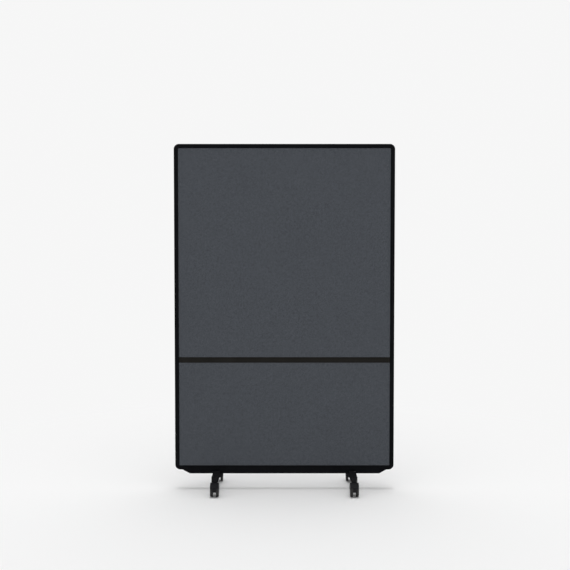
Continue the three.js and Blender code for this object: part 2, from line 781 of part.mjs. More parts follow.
function casterTyre() {
  const from = wheelInnerFace + seatGap;
  const to = wheelOuterFace - wheelCrown / 2;
  const shoulder = wheelRadius - tyreShoulder;
  return revolvedAboutX([
    [tyreBore, from], [shoulder, from], [wheelRadius, from + tyreShoulder],
    [wheelRadius, to - tyreShoulder], [shoulder, to], [tyreBore, to], [tyreBore, from],
  ], wheelFacets);
}

// The rear casters are the front ones turned half round, so every axle trails outwards.
function addCasters() {
  const body = casterBody();
  const stem = casterStem();
  const axle = casterAxle();
  const wheel = casterWheel();
  const tyre = casterTyre();
  for (const [side, sideSign] of [['left', -1], ['right', 1]]) {
    for (const [end, endSign] of [['front', -1], ['rear', 1]]) {
      const place = `${end}_${side}`;
      const caster = new THREE.Group();
      caster.position.set(sideSign * footX, endSign * axleY, 0);
      caster.rotation.z = endSign < 0 ? 0 : Math.PI;
      partition.add(caster);
      const axleCentre = [0, 0, wheelRadius];
      add(caster, `stem_${place}`, stem, zincSteel, [0, casterTrail, 0]);
      add(caster, `caster_body_${place}`, body, blackMoulding, axleCentre);
      add(caster, `axle_${place}`, axle, zincSteel, axleCentre);
      for (const [hand, turn] of [[1, 0], [-1, Math.PI]]) {
        const outward = hand * sideSign * -endSign > 0 ? 'outer' : 'inner';
        add(caster, `wheel_${place}_${outward}`, wheel, wheelNylon, axleCentre, [0, 0, turn]);
        add(caster, `tyre_${place}_${outward}`, tyre, treadRubber, axleCentre, [0, 0, turn]);
      }
    }
  }
}

// ---------------------------------------------------------------- whole partition

addFrame();
addMidRail();
addBoards();
addBeam();
addFeet();
addCasters();

export default partition;
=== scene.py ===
"""Looks of the rolling partition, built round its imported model. Metres, +Z up, front towards -Y."""

import json
import math

import bmesh
import bpy
from mathutils import Matrix, Vector
from mathutils.geometry import tessellate_polygon

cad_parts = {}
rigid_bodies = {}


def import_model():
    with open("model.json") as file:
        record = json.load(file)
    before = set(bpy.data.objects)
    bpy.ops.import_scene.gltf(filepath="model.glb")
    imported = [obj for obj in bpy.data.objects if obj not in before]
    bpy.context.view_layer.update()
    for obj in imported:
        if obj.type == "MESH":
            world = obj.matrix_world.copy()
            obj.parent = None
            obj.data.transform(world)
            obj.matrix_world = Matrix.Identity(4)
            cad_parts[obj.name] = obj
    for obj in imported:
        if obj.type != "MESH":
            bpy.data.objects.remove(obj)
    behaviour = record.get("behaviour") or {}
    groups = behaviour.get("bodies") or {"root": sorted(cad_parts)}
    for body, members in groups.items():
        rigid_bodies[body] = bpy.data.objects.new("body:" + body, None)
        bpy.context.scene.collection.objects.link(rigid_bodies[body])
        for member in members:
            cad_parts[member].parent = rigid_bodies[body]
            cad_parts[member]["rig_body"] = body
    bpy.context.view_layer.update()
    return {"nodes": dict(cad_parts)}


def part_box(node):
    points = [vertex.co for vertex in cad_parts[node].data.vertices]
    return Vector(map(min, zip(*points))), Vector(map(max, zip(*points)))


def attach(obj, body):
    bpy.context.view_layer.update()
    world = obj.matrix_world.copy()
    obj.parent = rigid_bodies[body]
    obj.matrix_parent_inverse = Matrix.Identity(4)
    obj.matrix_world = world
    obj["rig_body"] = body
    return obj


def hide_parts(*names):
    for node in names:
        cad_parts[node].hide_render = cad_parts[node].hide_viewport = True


MM = 0.001

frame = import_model()

# ---------------------------------------------------------------- sizes

# Fits: parts that meet, parts that slide in, parts that turn, and cutting tools past a face
SEAT_GAP = 0.3 * MM
SLIDE_GAP = 0.3 * MM
RUNNING_GAP = 0.3 * MM
OVERRUN = 1 * MM
DEEP_OVERRUN = 10 * MM

# Frame section
EDGE_RADIUS = 3 * MM
LIP_RADIUS = 0.8 * MM
LIP_WALL = 2.4 * MM
GROOVE_DEPTH = 12 * MM
OUTER_WALL = 2 * MM
WEB_WALL = 2 * MM
CHAMBER_WALL = 2 * MM

# Corner pieces. The slot is given as width and length.
CORNER_INNER_RADIUS = 5 * MM
CORNER_STRAIGHT = 2 * MM
SPIGOT_LENGTH = 45 * MM
SPIGOT_SLOT = (7 * MM, 32 * MM)
SPIGOT_CHAMFER = 1.5 * MM

# Middle rail
MID_WEB = 9 * MM
MID_WALL = 1.5 * MM
MID_CROWN = 0.8 * MM
MID_LIP_RADIUS = 1 * MM

# Base beam
BEAM_WALL = 2.4 * MM
BEAM_LIP = 9.8 * MM
BEAM_WEB = 6.7 * MM
BEAM_WEB_WALL = 1.8 * MM
BEAM_RIB = 2 * MM
BEAM_CELLS = 3
BEAM_CROWN = 0.7 * MM
BEAM_LIP_RADIUS = 1 * MM
BEAM_END_SLOPE = math.radians(28.9)
BEAM_END_GAP = 0.2 * MM
BEAM_END_EDGE = 0.4 * MM
BEAM_TONGUE_ROOT = 2 * MM
NOTCH_GAP = 0.4 * MM
BOLT_HOLE = 6.8 * MM
BOLT_HEAD = 4 * MM

# Cross feet
FOOT_EDGE = 3 * MM
FOOT_BELLY = 4.8 * MM
FOOT_LOWER_EDGE = 0.8 * MM
FOOT_BELLY_RUN = 40 * MM
FOOT_LEVEL_END = 32 * MM
FOOT_WALL = 3.5 * MM
FOOT_RIB = 3 * MM
FOOT_CENTRE_HALF = 30 * MM
FOOT_STEM_BOSS = 15 * MM
FOOT_BORE = 12 * MM
COUNTERBORE = 14 * MM
STEM_END_PLAY = 0.5 * MM

# Caster bodies. The pocket is given as width, length and height.
HOOD_WALL = 3 * MM
HOOD_GAP = 1.4 * MM
HOOD_EDGE = 1.8 * MM
HOOD_LIP = 0.8 * MM
HOOD_FROM, HOOD_TO = math.radians(-8), math.radians(150)
CORE_SIDE_GAP = 0.75 * MM
CORE_EDGE = 0.8 * MM
CORE_DROP = 9 * MM
CORE_HEEL = 12 * MM
CORE_TOE = 22 * MM
POCKET = (11 * MM, 14 * MM, 30 * MM)
AXLE_BOSS = 7.5 * MM
AXLE_FIT = 0.2 * MM
AXLE_HOLE_HALF = 30 * MM
HOUSING_RADIUS = 8.5 * MM

# Wheels and tyres. The groove in a wheel's face is given as radius, half width and depth, and the edge
# of the dish in its middle as (distance outside the dish, depth).
WHEEL_HUB_RADIUS = 8.5 * MM
WHEEL_HUB_CHAMFER = 0.4 * MM
WHEEL_RIM = 3 * MM
WHEEL_RIM_CHAMFER = 0.2 * MM
WHEEL_WEB = 2.6 * MM
WHEEL_CAP_WALL = 2.7 * MM
WHEEL_CROWN = 1.6 * MM
WHEEL_OUTER_INSETS = (0.5 * MM, 3 * MM)
WHEEL_GROOVE = (23 * MM, 1.2 * MM, 0.5 * MM)
WHEEL_GROOVE_FLOOR = 0.6
WHEEL_MIDDLE_RADII = (19 * MM, 15 * MM, 12 * MM)
WHEEL_DISH_RADIUS = 10 * MM
WHEEL_DISH_DEPTH = 0.8 * MM
WHEEL_DISH_EDGE = ((0.4 * MM, 0.05 * MM), (0, 0.3 * MM))
WHEEL_DISH_SLOPE = 0.5 * MM
WHEEL_BUTTON_FOOT = 6 * MM
WHEEL_BUTTON_RADIUS = 5.2 * MM
WHEEL_BUTTON_EDGE = 0.5 * MM
WHEEL_BUTTON_HEIGHT = 0.6 * MM
TYRE_THICKNESS = 4 * MM
TYRE_SHOULDER = 2 * MM
TREAD_GROOVE_DEPTH = 0.35 * MM
TREAD_GROOVE_HALF = 0.4 * MM
TREAD_GROOVE_OFFSET = 1.6 * MM

# Caster stems
JOURNAL_RADIUS = 4 * MM
JOURNAL_CHAMFER = 0.8 * MM
COLLAR_RADIUS = 8 * MM
SHANK_RADIUS = 5.2 * MM
SHANK_CHAMFER = 1.6 * MM
RING_RADIUS = 5.7 * MM
RING_HEIGHT = 3 * MM
RING_CHAMFER = 0.8 * MM

# Upholstery. The shares say where the cloth's points lie across its edge and over its swell.
CLOTH_THICKNESS = 0.8 * MM
CLOTH_EDGE = 1.4 * MM
CLOTH_EDGE_SHARES = (0, 0.08, 0.25, 0.55, 1)
CLOTH_SWELL = 0.5 * MM
CLOTH_SWELL_RUN = 9 * MM
CLOTH_SWELL_SHARES = (0, 0.15, 0.3, 0.45, 0.6, 0.75, 0.9, 1)
CLOTH_STEP = 45 * MM
PAD_GAP = 0.05 * MM
YARN_PITCH = 1.15 * MM

# How finely round forms are divided
FINE_TURN = 96
PIN_TURN = 48
ARC_STEPS = 8
LIP_STEPS = 4
HOOD_LIP_STEPS = 3
CORE_RIM_STEPS = 40
FOOT_TIP_STEPS = 12
FOOT_SIDE_STEPS = 40

# Meshes: points closer than the first are one, and a radius below the second lies on the axis
WELD_DISTANCE = 1e-6
ON_AXIS = 1e-7

# Camera and studio
CAMERA_DISTANCE = 4.330
CAMERA_HEIGHT = 1.2894
CAMERA_PITCH = math.radians(-2.178)
CAMERA_LENS = 50
CAMERA_SENSOR = 36
CAMERA_SHIFT = 0.001
FLOOR_RADIUS = 60.0
FLOOR_FADE = (1.4, 2.6)
BACKGROUND = 0.925
FILL = 0.36
CEILING, CEILING_FOCUS = 3.9, 20.0
BAND, BAND_FOCUS = 2.1, 12.0
TOP_LIGHT = 0.14
TOP_LIGHT_ANGLE = math.radians(8)
TOP_LIGHT_HEIGHT = 3

HALF_TURN = Matrix.Rotation(math.pi, 4, "Z")
X_AND_Z_SWAPPED = Matrix(((0, 0, 1, 0), (0, 1, 0, 0), (1, 0, 0, 0), (0, 0, 0, 1)))

# ---------------------------------------------------------------- outlines


def along_x(a, b, w):
    return Vector((w, b, a))


def along_z(a, b, w):
    return Vector((a, b, w))


def across_x(a, b, w):
    return Vector((w, a, b))


def across_y(a, b, w):
    return Vector((a, w, b))


def arc(a, b, radius, start, end, steps=ARC_STEPS):
    """Points of an arc about (a, b), both ends included. Angles are in degrees."""
    points = []
    for i in range(steps + 1):
        angle = math.radians(start + (end - start) * i / steps)
        points.append((a + radius * math.cos(angle), b + radius * math.sin(angle)))
    return points


def quarter_turn(steps):
    """Angles in radians from 0 to a right angle, both ends included."""
    return [math.pi / 2 * i / steps for i in range(steps + 1)]


def quadratic(start, handle, end, steps=12):
    """Points between start and end, both left out, of the curve that one handle draws out."""
    points = []
    for i in range(1, steps):
        t = i / steps
        points.append(tuple((1 - t) ** 2 * a + 2 * t * (1 - t) * b + t * t * c
                            for a, b, c in zip(start, handle, end)))
    return points


def mirrored(points):
    return [(a, -b) for a, b in reversed(points)]


# ---------------------------------------------------------------- meshes


def placed(name, data):
    made = bpy.data.objects.new(name, data)
    bpy.context.scene.collection.objects.link(made)
    return made


def new_object(name, vertices, faces):
    mesh = bpy.data.meshes.new(name)
    mesh.from_pydata([tuple(v) for v in vertices], [], faces)
    work = bmesh.new()
    work.from_mesh(mesh)
    bmesh.ops.remove_doubles(work, verts=work.verts, dist=WELD_DISTANCE)
    bmesh.ops.recalc_face_normals(work, faces=work.faces)
    work.to_mesh(mesh)
    work.free()
    return placed(name, mesh)


def grid_faces(wide, tall):
    """Four-sided faces between the points of a grid that is stored row by row."""
    starts = [row * wide + i for row in range(tall - 1) for i in range(wide - 1)]
    return [(a, a + 1, a + 1 + wide, a + wide) for a in starts]


def prism(name, loops, low, high, place):
    """A closed bar from low to high: loops[0] is its outline, and the other loops are hollows in it."""
    flat = [point for loop in loops for point in loop]
    total = len(flat)
    vertices = [place(a, b, w) for w in (low, high) for a, b in flat]
    faces = []
    first = 0
    for loop in loops:
        for i in range(len(loop)):
            a, b = first + i, first + (i + 1) % len(loop)
            faces.append((a, b, b + total, a + total))
        first += len(loop)
    for corners in tessellate_polygon([[Vector((a, b, 0)) for a, b in loop] for loop in loops]):
        faces.append(tuple(corners))
        faces.append(tuple(total + c for c in reversed(corners)))
    return new_object(name, vertices, faces)


def block(low, high):
    (x0, y0, z0), (x1, y1, z1) = low, high
    return prism("block", [[(x0, y0), (x1, y0), (x1, y1), (x0, y1)]], z0, z1, along_z)


def lofted(name, rings):
    """A closed skin through rings with the same number of points, with a flat face at either end."""
    count = len(rings[0])
    vertices = [point for ring in rings for point in ring]
    faces = [tuple(range(count)), tuple(range(len(vertices) - count, len(vertices)))]
    for k in range(len(rings) - 1):
        for i in range(count):
            a, b = k * count + i, k * count + (i + 1) % count
            faces.append((a, b, b + count, a + count))
    return new_object(name, vertices, faces)


def turned(name, profile, place, steps=FINE_TURN, closed=False):
    """A profile of (radius, along) points turned about the axis that place gives."""
    vertices, rings, faces = [], [], []
    for radius, along in profile:
        if radius < ON_AXIS:
            rings.append([len(vertices)] * steps)
            vertices.append(place(0, 0, along))
            continue
        rings.append(list(range(len(vertices), len(vertices) + steps)))
        for i in range(steps):
            angle = 2 * math.pi * i / steps
            vertices.append(place(radius * math.cos(angle), radius * math.sin(angle), along))
    for low, high in zip(rings, rings[1:] + rings[:1] if closed else rings[1:]):
        for i in range(steps):
            j = (i + 1) % steps
            face = list(dict.fromkeys((low[i], low[j], high[j], high[i])))
            if len(face) > 2:
                faces.append(face)
    return new_object(name, vertices, faces)


def pin(x, y, low, high, radius, steps=PIN_TURN):
    """A plain upright cylinder."""
    place = lambda a, b, w: Vector((x + a, y + b, w))
    return turned("pin", [(0, low), (radius, low), (radius, high), (0, high)], place, steps)


def apply_modifiers(obj):
    bpy.context.view_layer.update()
    graph = bpy.context.evaluated_depsgraph_get()
    mesh = bpy.data.meshes.new_from_object(obj.evaluated_get(graph))
    obj.modifiers.clear()
    old = obj.data
    obj.data = mesh
    bpy.data.meshes.remove(old)
    return obj


def combined(base, tools, operation):
    for tool in tools:
        modifier = base.modifiers.new(operation, "BOOLEAN")
        modifier.operation = operation
        modifier.solver = "MANIFOLD"
        modifier.object = tool
    apply_modifiers(base)
    for tool in tools:
        bpy.data.objects.remove(tool)
    return base


def cut(base, *tools):
    return combined(base, tools, "DIFFERENCE")


def joined(base, *tools):
    return combined(base, tools, "UNION")


def softened(obj, width, steps=3, degrees=40):
    """Rounds the edges at which the surface turns by more than the given angle."""
    modifier = obj.modifiers.new("edges", "BEVEL")
    modifier.width = width
    modifier.segments = steps
    modifier.limit_method = "ANGLE"
    modifier.angle_limit = math.radians(degrees)
    return apply_modifiers(obj)


def smooth(obj, degrees=32):
    obj.data.shade_smooth()
    obj.data.set_sharp_from_angle(angle=math.radians(degrees))
    return obj


def dress(obj, node, material):
    """Names obj after the CAD node that it stands for, and makes it ride where that node rides."""
    obj.name = f"{node}_finished"
    obj.data.name = obj.name
    obj.data.materials.clear()
    obj.data.materials.append(material)
    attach(obj, frame["nodes"][node]["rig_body"])
    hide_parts(node)
    return obj


def copy_of(obj, matrix):
    made = placed(obj.name, obj.data.copy())
    made.data.transform(matrix)
    if matrix.determinant() < 0:
        made.data.flip_normals()
    return made


# ---------------------------------------------------------------- materials


def colour(red, green, blue):
    """A shader colour from an sRGB screen colour of 0 to 255."""
    linear = []
    for value in (red, green, blue):
        share = value / 255
        linear.append(share / 12.92 if share <= 0.04045 else ((share + 0.055) / 1.055) ** 2.4)
    return (*linear, 1)


class Nodes:
    """Short calls for the nodes of one shader tree."""

    def __init__(self, tree, coordinates):
        self.tree = tree
        self.place = self.add("ShaderNodeTexCoord").outputs[coordinates]

    def feed(self, socket, value):
        if isinstance(value, bpy.types.NodeSocket):
            self.tree.links.new(value, socket)
        else:
            socket.default_value = value

    def add(self, kind, inputs=(), **settings):
        node = self.tree.nodes.new(kind)
        for name, value in settings.items():
            setattr(node, name, value)
        for name, value in dict(inputs).items():
            self.feed(node.inputs[name], value)
        return node

    def math(self, operation, *values):
        node = self.add("ShaderNodeMath", operation=operation)
        for socket, value in zip(node.inputs, values):
            self.feed(socket, value)
        return node.outputs[0]

    def noise(self, scale, detail, vector=None):
        inputs = {"Vector": vector or self.place, "Scale": scale, "Detail": detail}
        return self.add("ShaderNodeTexNoise", inputs).outputs["Fac"]

    def ramped(self, value, low, high, to_low=0.0, to_high=1.0):
        """Maps low and high to the last two numbers, and holds what lies beyond them."""
        inputs = {"Value": value, "From Min": low, "From Max": high, "To Min": to_low, "To Max": to_high}
        return self.add("ShaderNodeMapRange", inputs).outputs["Result"]

    def spread(self, noise, to_low=0.0, to_high=1.0):
        """Maps the range in which most of a noise lies to the two numbers."""
        return self.ramped(noise, 0.3, 0.7, to_low, to_high)

    def mix(self, share, first, second):
        node = self.add("ShaderNodeMix", data_type="RGBA")
        for index, value in ((0, share), (6, first), (7, second)):
            self.feed(node.inputs[index], value)
        return node.outputs[2]

    def blend_numbers(self, share, first, second):
        node = self.add("ShaderNodeMix", data_type="FLOAT")
        for index, value in ((0, share), (2, first), (3, second)):
            self.feed(node.inputs[index], value)
        return node.outputs[0]

    def stretched(self, x, y, z):
        return self.add("ShaderNodeMapping", {"Vector": self.place, "Scale": (x, y, z)}).outputs[0]


class Surface(Nodes):
    """A procedural material on the Principled shader."""

    def __init__(self, name, **shader):
        self.material = bpy.data.materials.new(name)
        self.material.use_nodes = True
        super().__init__(self.material.node_tree, "Object")
        self.shader = self.tree.nodes["Principled BSDF"]
        for socket, value in shader.items():
            self.feed(self.shader.inputs[socket.replace("_", " ")], value)

    def paint(self, value):
        self.feed(self.shader.inputs["Base Color"], value)

    def roughen(self, value):
        self.feed(self.shader.inputs["Roughness"], value)

    def emboss(self, *layers):
        """Bumps on top of each other, each as (height from 0 to 1, depth)."""
        normal = None
        for height, depth in layers:
            node = self.add("ShaderNodeBump", {"Height": height, "Distance": depth, "Strength": 1.0})
            if normal:
                self.feed(node.inputs["Normal"], normal)
            normal = node.outputs[0]
        self.feed(self.shader.inputs["Normal"], normal)


def powder_coat(name, dark, light, gleam):
    """Fine-textured black powder coat, a little lighter where it has been rubbed."""
    s = Surface(name, Specular_IOR_Level=gleam)
    grain = s.noise(scale=1500, detail=3)
    cloud = s.noise(scale=9, detail=3)
    streaks = s.noise(70, 6, s.stretched(1, 1, 0.25))
    scuff = s.math("MULTIPLY", s.ramped(streaks, 0.62, 0.78), s.ramped(cloud, 0.52, 0.7))
    base = s.mix(s.spread(cloud), dark, light)
    speck = s.mix(s.ramped(grain, 0.58, 0.75, 0, 0.35), base, colour(40, 42, 45))
    s.paint(s.mix(s.math("MULTIPLY", scuff, 0.3), speck, colour(46, 47, 50)))
    s.roughen(s.blend_numbers(s.spread(grain), 0.48, 0.62))
    s.emboss((s.noise(scale=420, detail=2), 0.25 * MM), (grain, 0.12 * MM))
    return s.material


def moulding(name, dark, light, gloss=0.5, gleam=0.04):
    """Black moulded plastic with a fine spark-eroded grain."""
    s = Surface(name, Specular_IOR_Level=gleam)
    grain = s.noise(scale=2200, detail=2)
    flow = s.noise(14, 4, s.stretched(1, 1, 0.4))
    s.paint(s.mix(s.spread(flow), dark, light))
    s.roughen(s.blend_numbers(s.spread(grain), gloss, gloss + 0.14))
    s.emboss((grain, 0.1 * MM), (s.noise(scale=160, detail=2), 0.1 * MM))
    return s.material


def upholstery():
    """Plain-woven grey cloth of two mixed yarns, which run along X and Z."""
    s = Surface("upholstery", Specular_IOR_Level=0.12, Sheen_Weight=0.06, Sheen_Roughness=0.5)
    parts = s.add("ShaderNodeSeparateXYZ", {"Vector": s.place}).outputs
    u = s.math("DIVIDE", parts["X"], YARN_PITCH)
    v = s.math("DIVIDE", parts["Z"], YARN_PITCH)
    column, row = s.math("FLOOR", u), s.math("FLOOR", v)
    over = s.math("FLOORED_MODULO", s.math("ADD", column, row), 2.0)
    across = s.math("SINE", s.math("MULTIPLY", s.math("FRACT", u), math.pi))
    along = s.math("SINE", s.math("MULTIPLY", s.math("FRACT", v), math.pi))
    warp = s.math("MULTIPLY", across, s.math("MULTIPLY_ADD", along, 0.45, 0.55))
    weft = s.math("MULTIPLY", along, s.math("MULTIPLY_ADD", across, 0.45, 0.55))
    height = s.blend_numbers(over, warp, weft)

    def yarn_tint(count, run, offset):
        """A shade of its own for each yarn, which changes slowly along it."""
        inputs = {"X": count, "Y": s.math("MULTIPLY", run, 0.09), "Z": offset}
        vector = s.add("ShaderNodeCombineXYZ", inputs)
        return s.noise(1.0, 2, vector.outputs[0])

    tint = s.blend_numbers(over, yarn_tint(column, v, 3.7), yarn_tint(row, u, 41.3))
    warp_colour = s.mix(s.spread(tint), colour(62, 65, 70), colour(85, 89, 95))
    weft_colour = s.mix(s.spread(tint), colour(70, 74, 79), colour(95, 99, 105))
    woven = s.mix(over, warp_colour, weft_colour)
    # Painted shade: the low parts of the weave, between the yarns, are darkened towards a dark grey.
    weave_with_painted_shade = s.mix(s.ramped(height, 0.1, 0.65), colour(37, 39, 43), woven)
    heather = s.spread(s.noise(120, 3, s.stretched(1, 1, 0.7)), 0.89, 1.11)
    patch = s.spread(s.noise(scale=5, detail=2), 0.985, 1.015)
    shade = s.math("MULTIPLY", heather, patch)
    tone = s.add("ShaderNodeVectorMath", operation="SCALE")
    s.feed(tone.inputs[0], weave_with_painted_shade)
    s.feed(tone.inputs["Scale"], shade)
    s.paint(tone.outputs[0])
    s.roughen(s.spread(s.noise(scale=600, detail=2), 0.86, 0.98))
    fibre = s.noise(scale=5200, detail=2)
    s.emboss((height, 0.22 * MM), (fibre, 0.06 * MM))
    return s.material


def filling():
    """Pale brown board of small paper cells."""
    s = Surface("filling", Specular_IOR_Level=0.2, Roughness=0.9)
    cells = s.add("ShaderNodeTexVoronoi", {"Vector": s.place, "Scale": 90.0}, feature="DISTANCE_TO_EDGE")
    wall = s.ramped(cells.outputs["Distance"], 0.02, 0.09)
    fibre = s.noise(scale=260, detail=4)
    paper = s.mix(s.spread(fibre), colour(176, 150, 112), colour(196, 172, 134))
    s.paint(s.mix(wall, colour(150, 124, 88), paper))
    s.emboss((wall, 0.4 * MM), (fibre, 0.1 * MM))
    return s.material


def tread_rubber():
    """Black rubber with a little dust on it."""
    s = Surface("tread_rubber", Specular_IOR_Level=0.15)
    dust = s.noise(scale=120, detail=5)
    s.paint(s.mix(s.ramped(dust, 0.4, 0.75), colour(38, 38, 40), colour(58, 57, 55)))
    s.roughen(s.spread(dust, 0.72, 0.9))
    s.emboss((s.noise(scale=1100, detail=2), 0.12 * MM))
    return s.material


def plated_steel():
    """Pale zinc plate with fine drawn lines."""
    s = Surface("plated_steel", Metallic=1.0)
    lines = s.noise(900, 2, s.stretched(1, 1, 0.06))
    bloom = s.noise(scale=60, detail=3)
    s.paint(s.mix(s.spread(bloom), colour(168, 171, 174), colour(188, 189, 188)))
    s.roughen(s.spread(lines, 0.28, 0.42))
    s.emboss((lines, 0.04 * MM))
    return s.material


COAT = powder_coat("powder_coat", colour(11, 12, 14), colour(15, 16, 18), gleam=0.02)
# The feet take the black powder coat made lighter: painted light, for the light that falls on the feet from
# above.
FOOT_COAT_PAINTED_LIGHT = powder_coat("foot_powder_coat_painted_light", colour(27, 27, 28), colour(32, 32, 33), gleam=0.0)
BLACK_MOULDING = moulding("black_moulding", colour(14, 14, 16), colour(18, 18, 20), gleam=0.01)
RAIL_MOULDING = moulding("rail_moulding", colour(26, 25, 23), colour(30, 29, 27), gloss=0.58)
CASTER_MOULDING = moulding("caster_moulding", colour(30, 30, 32), colour(37, 37, 39),
                           gloss=0.46, gleam=0.015)
WHEEL_NYLON = moulding("wheel_nylon", colour(20, 20, 22), colour(26, 26, 28), gloss=0.4)
CLOTH = upholstery()
FILLING = filling()
RUBBER = tread_rubber()
STEEL = plated_steel()

# ---------------------------------------------------------------- levels and places, from the frame

stile_low, stile_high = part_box("stile_left")
rail_low, rail_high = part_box("rail_bottom")
HALF_WIDTH = -stile_low.x
FACE_WIDTH = stile_high.x - stile_low.x
HALF_DEPTH = stile_high.y
FRAME_BOTTOM = rail_low.z
FRAME_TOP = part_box("rail_top")[1].z
GROOVE_HALF = HALF_DEPTH - LIP_WALL
GROOVE_FLOOR = FACE_WIDTH - GROOVE_DEPTH
CHAMBER_TOP = GROOVE_FLOOR - WEB_WALL
CHAMBER_HALF = HALF_DEPTH - CHAMBER_WALL
CORNER_RADIUS = FACE_WIDTH + CORNER_INNER_RADIUS
CORNER_LEG = CORNER_RADIUS + CORNER_STRAIGHT

beam_low, beam_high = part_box("base_beam")
BEAM_CHANNEL = beam_high.y - BEAM_WALL
BEAM_WEB_TOP = beam_high.z - BEAM_LIP
BEAM_WEB_BOTTOM = BEAM_WEB_TOP - BEAM_WEB

foot_low, foot_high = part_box("foot_right")
stem_low, stem_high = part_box("stem_rear_right")
bolt_low, bolt_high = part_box("foot_bolt_right_rear")
FOOT_X = (foot_low.x + foot_high.x) / 2
FOOT_HALF_WIDTH = (foot_high.x - foot_low.x) / 2
FOOT_BOTTOM = foot_low.z + FOOT_BELLY
STEM_Y = (stem_low.y + stem_high.y) / 2
BOLT_Y = (bolt_low.y + bolt_high.y) / 2
BOLT_SEAT = bolt_low.z + BOLT_HEAD

axle_low, axle_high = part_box("axle_front_right")
body_low, body_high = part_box("caster_body_front_right")
WHEEL_RADIUS = (axle_low.z + axle_high.z) / 2
AXLE_RADIUS = (axle_high.z - axle_low.z) / 2
HALF_CASTER = (body_high.x - body_low.x) / 2
TRAIL = -STEM_Y - (axle_low.y + axle_high.y) / 2
HOOD_INNER = WHEEL_RADIUS + HOOD_GAP
HOOD_OUTER = HOOD_INNER + HOOD_WALL
HOOD_TOP = WHEEL_RADIUS + HOOD_OUTER
WHEEL_INNER_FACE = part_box("wheel_front_right_outer")[0].x - FOOT_X

# ---------------------------------------------------------------- frame


def frame_skin():
    """The +Y half of the frame's skin as (distance in from the outer face, Y)."""
    lip, edge = LIP_RADIUS, EDGE_RADIUS
    return [
        *arc(FACE_WIDTH - lip, HALF_DEPTH - lip, lip, 0, 90, LIP_STEPS),
        *arc(edge, HALF_DEPTH - edge, edge, 90, 180),
    ]


def frame_loops():
    skin = frame_skin()
    outline = [
        (FACE_WIDTH, GROOVE_HALF), *skin, *mirrored(skin), (FACE_WIDTH, -GROOVE_HALF),
        (GROOVE_FLOOR, -GROOVE_HALF), (GROOVE_FLOOR, GROOVE_HALF),
    ]
    chamber = [
        (OUTER_WALL, -CHAMBER_HALF), (OUTER_WALL, CHAMBER_HALF),
        (CHAMBER_TOP, CHAMBER_HALF), (CHAMBER_TOP, -CHAMBER_HALF),
    ]
    return [outline, chamber]


def bolt_holes(low, high):
    """Four pins that cut the holes of the bolts from low to high."""
    places = [(side * FOOT_X, end * BOLT_Y) for side in (-1, 1) for end in (-1, 1)]
    return [pin(x, y, low - OVERRUN, high + OVERRUN, BOLT_HOLE / 2) for x, y in places]


def make_frame():
    stile = prism("stile", frame_loops(), stile_low.z, stile_high.z, along_z)
    stile.data.transform(Matrix.Translation((-HALF_WIDTH, 0, 0)))
    right = copy_of(stile, HALF_TURN)
    rail = prism("rail", frame_loops(), rail_low.x, rail_high.x, along_x)
    top = copy_of(rail, Matrix.Translation((0, 0, FRAME_TOP)) @ Matrix.Scale(-1, 4, (0, 0, 1)))
    rail.data.transform(Matrix.Translation((0, 0, FRAME_BOTTOM)))
    cut(rail, *bolt_holes(FRAME_BOTTOM, FRAME_BOTTOM + OUTER_WALL))
    bars = {"stile_left": stile, "stile_right": right, "rail_bottom": rail, "rail_top": top}
    for node, bar in bars.items():
        dress(smooth(bar), node, COAT)


def corner_spigot():
    """Tongue along +Z in the chamber of the upright leg, with a slot from its tip."""
    low, high = CORNER_RADIUS - OUTER_WALL, CORNER_LEG + SPIGOT_LENGTH
    half = CHAMBER_HALF - SLIDE_GAP
    chamfer = SPIGOT_CHAMFER
    outline = [
        (-half, low), (half, low), (half, high - chamfer), (half - chamfer, high),
        (chamfer - half, high), (-half, high - chamfer),
    ]
    tongue = prism("tongue", [outline], OUTER_WALL + SLIDE_GAP, CHAMBER_TOP - SLIDE_GAP, across_x)
    width, length = SPIGOT_SLOT
    slot = block((-OVERRUN, -width / 2, high - length), (FACE_WIDTH, width / 2, high + OVERRUN))
    return cut(tongue, slot)


def corner_bend():
    """The frame's skin swept round the corner: outer corner at the origin, legs along +X and +Z."""
    skin = frame_skin()
    loop = [*skin, *mirrored(skin)]
    rings = [[(across, y, CORNER_LEG) for across, y in loop]]
    for quarter in quarter_turn(4 * ARC_STEPS):
        cosine, sine = math.cos(math.pi + quarter), math.sin(math.pi + quarter)
        rings.append([
            (CORNER_RADIUS + (CORNER_RADIUS - across) * cosine, y,
             CORNER_RADIUS + (CORNER_RADIUS - across) * sine)
            for across, y in loop
        ])
    rings.append([(CORNER_LEG, y, across) for across, y in loop])
    return lofted("corner", rings)


def make_corners():
    room = block((GROOVE_FLOOR, -GROOVE_HALF, GROOVE_FLOOR),
                 (2 * CORNER_LEG, GROOVE_HALF, 2 * CORNER_LEG))
    corner = cut(corner_bend(), room)
    upright = corner_spigot()
    level = copy_of(upright, X_AND_Z_SWAPPED)
    smooth(joined(corner, upright, level))
    for level_name, z, flip_z in (("bottom", FRAME_BOTTOM, 1), ("top", FRAME_TOP, -1)):
        for side, x, flip_x in (("left", -HALF_WIDTH, 1), ("right", HALF_WIDTH, -1)):
            matrix = Matrix.Translation((x, 0, z)) @ Matrix.Diagonal((flip_x, 1, flip_z, 1))
            dress(copy_of(corner, matrix), f"corner_{level_name}_{side}", BLACK_MOULDING)
    bpy.data.objects.remove(corner)


# ---------------------------------------------------------------- middle rail


def crowned_skin(middle, half, edge, crown, lip):
    """A face that bulges by crown between two rounded lips, as (height, Y), from the top down."""
    face = []
    for i in range(2 * ARC_STEPS + 1):
        t = 1 - i / ARC_STEPS
        face.append((middle + t * (half - lip), edge + crown * (1 - t * t)))
    return [
        *arc(middle + half - lip, edge - lip, lip, 0, 80, LIP_STEPS),
        *face,
        *arc(middle - half + lip, edge - lip, lip, 100, 180, LIP_STEPS),
    ]


